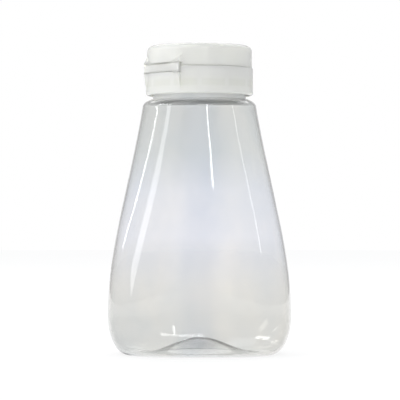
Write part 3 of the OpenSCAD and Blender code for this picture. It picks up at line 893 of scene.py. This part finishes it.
def clear_plastic():
    """Clear blown wall: hazy at the neck, with faint waves, and painted shade that makes it greyer at the
    shoulder and foot and blue-grey down the middle of its faces.
    """
    material, tree, shader = new_material("clear_plastic")
    shader.inputs["IOR"].default_value = 1.5
    # Fully clear also where a program reads only the socket's own number
    shader.inputs["Transmission Weight"].default_value = 1.0
    height = add_place(tree)[2]
    haze = add_map(tree, height, HAZE_LOW_Z * MM, HAZE_HIGH_Z * MM, 1.0, HAZY_CLEAR)
    tree.links.new(haze, shader.inputs["Transmission Weight"])
    cloud = add_tint(tree, add_noise(tree, 48, 5, (1, 1, 0.7)), CLOUD_TINT)
    # Painted shade and light along the height, and painted blue-grey shade down the middle of the faces
    grey = add_ramp(tree, add_map(tree, height, 0, RIM_Z * MM), WALL_PAINTED_SHADE)
    tint = multiply_colours(tree, multiply_colours(tree, cloud, grey), add_middle_painted_shade(tree))
    tree.links.new(tint, shader.inputs["Base Color"])
    add_roughness(tree, shader, add_noise(tree, 240, 3), 0.01, 0.04)
    add_bump(tree, shader, add_noise(tree, 55, 2, (1, 1, 0.45)), 0.25, 0.0006)
    add_absorption(tree)
    return material


def milky_plastic(name, ribbed=False):
    """Natural translucent plastic: cloudy body and satin skin. Ribbed, its ribs show through, with painted
    shade between them.
    """
    material, tree, shader = new_material(name)
    shader.inputs["Transmission Weight"].default_value = MILKY_CLEAR
    shader.inputs["IOR"].default_value = 1.49
    shader.inputs["Subsurface Weight"].default_value = 1.0
    shader.inputs["Subsurface Radius"].default_value = (1, 1, 1)
    shader.inputs["Subsurface Scale"].default_value = 0.0015
    tint = add_tint(tree, add_noise(tree, 90, 3), MILKY_TINT)
    if ribbed:
        tint = multiply_colours(tree, tint, add_painted_rib_shade(tree))
    tree.links.new(tint, shader.inputs["Base Color"])
    add_roughness(tree, shader, add_noise(tree, 600, 3), 0.16, 0.22)
    return material


def soft_rubber(name, clear_share, tints, low, high):
    """Silicone or foam: matt, with a fine skin."""
    material, tree, shader = new_material(name)
    shader.inputs["Transmission Weight"].default_value = clear_share
    shader.inputs["IOR"].default_value = 1.41
    cloud = add_noise(tree, 300, 4)
    tree.links.new(add_tint(tree, cloud, tints), shader.inputs["Base Color"])
    add_roughness(tree, shader, cloud, low, high)
    add_bump(tree, shader, add_noise(tree, 2500, 2), 0.2, 0.0001)
    return material


def dress(obj, material, body, node=None):
    """Gives a piece its material, and where they are named its body and the CAD node that it replaces."""
    obj.data.materials.clear()
    obj.data.materials.append(material)
    if body:
        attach(obj, body)
    if node:
        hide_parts(node)


# Camera

PHOTO_SIZE = 400
PX_PER_MM = 2.55
PHOTO_AXIS_X = 199.5
CAMERA_DISTANCE = 0.770
CAMERA_HEIGHT = 0.0604
SENSOR = 36.0


def add_camera():
    """The photograph's view: level, from the front, at the height that its ellipses give."""
    data = bpy.data.cameras.new("camera")
    data.sensor_width = SENSOR
    data.sensor_fit = "HORIZONTAL"
    seen_width = PHOTO_SIZE / PX_PER_MM * MM
    data.lens = SENSOR * CAMERA_DISTANCE / seen_width
    camera = bpy.data.objects.new("camera", data)
    aside = (PHOTO_SIZE / 2 - PHOTO_AXIS_X) / PX_PER_MM * MM
    camera.location = (aside, -CAMERA_DISTANCE, CAMERA_HEIGHT)
    camera.rotation_euler = (math.radians(90), 0, 0)
    bpy.context.collection.objects.link(camera)
    bpy.context.scene.camera = camera


# Lamps

MIDDLE = Vector((0, 0, 0.06))


def around(azimuth, elevation, distance):
    """A place round the bottle: azimuth 0 is the camera's side, and positive azimuths are to its right."""
    a = math.radians(azimuth)
    e = math.radians(elevation)
    flat = distance * math.cos(e)
    return Vector((flat * math.sin(a), -flat * math.cos(a), MIDDLE.z + distance * math.sin(e)))


def add_lamp(name, start, end, width, brightness):
    """A long lamp between two places, facing the bottle. Its brightness is a share of white."""
    centre = (start + end) / 2
    along = (end - start).normalized()
    across = (MIDDLE - centre).cross(along).normalized()
    length = (end - start).length
    data = bpy.data.lights.new(name, "AREA")
    data.shape = "RECTANGLE"
    data.size = width
    data.size_y = length
    data.energy = brightness * math.pi * width * length
    lamp = bpy.data.objects.new(name, data)
    lamp.location = centre
    lamp.rotation_euler = Matrix((across, along, across.cross(along))).transposed().to_euler()
    bpy.context.collection.objects.link(lamp)


def add_lights():
    """Large soft lamps for the cap, and cards and strips whose reflections run down the bottle."""
    add_lamp("key", around(-62, 44, 1.0), around(-12, 44, 1.0), 0.7, 1.3)
    add_lamp("back", around(125, 42, 1.1), around(235, 42, 1.1), 0.7, 1.5)
    add_lamp("line_left", around(-86, 15, 0.9), around(-107, 7, 0.9), 0.015, 9)
    add_lamp("card_left", around(-53, 14, 0.9), around(-67, 1, 0.9), 0.14, 2.2)
    add_lamp("shoulder_left", around(-92, 26, 0.9), around(-52, 26, 0.9), 0.12, 7)
    add_lamp("line_centre", around(11.3, 6.2, 0.9), around(11.3, 17, 0.9), 0.03, 8)
    add_lamp("shoulder_centre", around(-1, 19, 0.9), around(24, 19, 0.9), 0.05, 8)
    add_lamp("line_right", around(60, 6, 0.9), around(64, 16, 0.9), 0.02, 4)


# World and floor

SEEN_RAYS = ("Is Camera Ray", "Is Glossy Ray", "Is Transmission Ray")
LIGHT_COLOUR = (0.95, 0.97, 1.0)
LIGHT_LEVEL = 0.93

# The background that is seen in and through the plastic: its darkest level, and where it turns dark
DARK_LEVEL = 0.6
OVERHEAD_START = 0.3
OVERHEAD_END = 0.75
ASIDE_START = math.cos(math.radians(8))
ASIDE_END = math.cos(math.radians(22))

FLOOR_R = 1600
FLOOR_CORNERS = 64
FLOOR_TINT = ((0.92, 0.92, 0.92), (0.94, 0.94, 0.94))
FLOOR_WHITE = 0.85


def any_ray(tree, names):
    """1 for each of these kinds of ray, 0 for others."""
    path = tree.nodes.new("ShaderNodeLightPath")
    found = path.outputs[names[0]]
    for name in names[1:]:
        found = add_math(tree, "MAXIMUM", found, path.outputs[name])
    return found


def mix_shaders(tree, share, first, second, end):
    """Mixes two shaders by a share of the second, into an output's socket."""
    mix = tree.nodes.new("ShaderNodeMixShader")
    tree.links.new(share, mix.inputs["Fac"])
    tree.links.new(first, mix.inputs[1])
    tree.links.new(second, mix.inputs[2])
    tree.links.new(mix.outputs[0], end)


def add_background(tree, colour, strength):
    """A background shader. Its strength is a number or a socket."""
    node = tree.nodes.new("ShaderNodeBackground")
    node.inputs["Color"].default_value = (*colour, 1)
    feed(tree, node.inputs["Strength"], strength)
    return node.outputs[0]


def seen_level(tree):
    """White straight behind the bottle and for the camera, darker overhead and aside."""
    _, y, z = add_place(tree, "Generated")
    overhead = add_map(tree, z, OVERHEAD_START, OVERHEAD_END, 1.0, DARK_LEVEL)
    aside = add_map(tree, add_math(tree, "ABSOLUTE", y), ASIDE_END, ASIDE_START, DARK_LEVEL, 1.0)
    both = add_math(tree, "MULTIPLY", overhead, aside)
    return add_math(tree, "MAXIMUM", both, any_ray(tree, ["Is Camera Ray"]))


def add_world():
    """Soft grey light all round, and a white background that has dark sides where the plastic shows it."""
    world = bpy.data.worlds.new("studio")
    bpy.context.scene.world = world
    world.use_nodes = True
    tree = world.node_tree
    tree.nodes.clear()
    light = add_background(tree, LIGHT_COLOUR, LIGHT_LEVEL)
    white = add_background(tree, WHITE, seen_level(tree))
    output = tree.nodes.new("ShaderNodeOutputWorld")
    mix_shaders(tree, any_ray(tree, SEEN_RAYS), light, white, output.inputs["Surface"])


def add_floor():
    """A pale round floor that keeps the shadow and fades into the white background."""
    angles = [2 * math.pi * k / FLOOR_CORNERS for k in range(FLOOR_CORNERS)]
    points = [(0, 0, 0)] + [(FLOOR_R * math.cos(a), FLOOR_R * math.sin(a), 0) for a in angles]
    faces = [(0, k + 1, (k + 1) % FLOOR_CORNERS + 1) for k in range(FLOOR_CORNERS)]
    floor = add_mesh("floor", points, faces, smooth=False)
    material, tree, shader = new_material("floor_paper")
    tint = add_tint(tree, add_noise(tree, 8, 2), FLOOR_TINT)
    tree.links.new(tint, shader.inputs["Base Color"])
    shader.inputs["Roughness"].default_value = 0.9
    shader.inputs["Specular IOR Level"].default_value = 0.1
    white = tree.nodes.new("ShaderNodeEmission")
    share = add_math(tree, "MULTIPLY", any_ray(tree, SEEN_RAYS), FLOOR_WHITE)
    end = tree.nodes["Material Output"].inputs["Surface"]
    mix_shaders(tree, share, shader.outputs[0], white.outputs[0], end)
    floor.data.materials.append(material)


# Build

RING_W = 2.7
SEAL_IN_R = BORE_R + 0.25

bottle = build_bottle()
base = cap_shell("closure_base_shell", base_corners(), shape_base, True)
lid = cap_shell("lid_shell", lid_corners(), shape_lid, False)
strap = hinge_bar("hinge_strap_bar", strap_outline(), HINGE_HALF_W, 0.15)
low_film = hinge_bar("hinge_film_low", film_outline(FILM_LOW_Z), HINGE_HALF_W - 0.1, 0.05)
high_film = hinge_bar("hinge_film_high", film_outline(FILM_HIGH_Z), HINGE_HALF_W - 0.1, 0.05)
valve = build_valve()
retainer = lathe("valve_retainer_ring", [
    (ring_high.x, ring_high.z, 0.1),
    (ring_high.x - RING_W, ring_high.z, 0.2),
    (ring_high.x - RING_W, ring_low.z, 0.2),
    (ring_high.x, ring_low.z, 0.3),
])
seal = lathe("seal_liner", [
    (seal_high.x, seal_high.z, 0.1),
    (SEAL_IN_R, seal_high.z, 0.1),
    (SEAL_IN_R, seal_low.z, 0.1),
    (seal_high.x, seal_low.z, 0.1),
])

clear = clear_plastic()
milky = milky_plastic("milky_plastic")
ribbed = milky_plastic("ribbed_plastic", ribbed=True)
silicone = soft_rubber("silicone", 0.3, ((0.8, 0.81, 0.82), (0.86, 0.87, 0.88)), 0.4, 0.55)
foam = soft_rubber("seal_foam", 0.0, ((0.86, 0.86, 0.84), (0.92, 0.92, 0.9)), 0.7, 0.9)

dress(bottle, clear, "bottle_body", "bottle")
dress(base, ribbed, "closure_body", "closure_base")
dress(lid, milky, "lid_body", "lid")
dress(strap, milky, "strap_body", "hinge_strap")
dress(valve, silicone, "closure_body", "silicone_valve")
dress(retainer, milky, "closure_body", "valve_retainer")
dress(seal, foam, "seal_body", "seal_ring")
for film, z, pair in (
    (low_film, FILM_LOW_Z, ("closure_body", "strap_body")),
    (high_film, FILM_HIGH_Z, ("strap_body", "lid_body")),
):
    dress(film, milky, None)
    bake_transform(film)

add_world()
add_floor()
add_lights()
add_camera()
bpy.context.scene.view_settings.view_transform = "Standard"
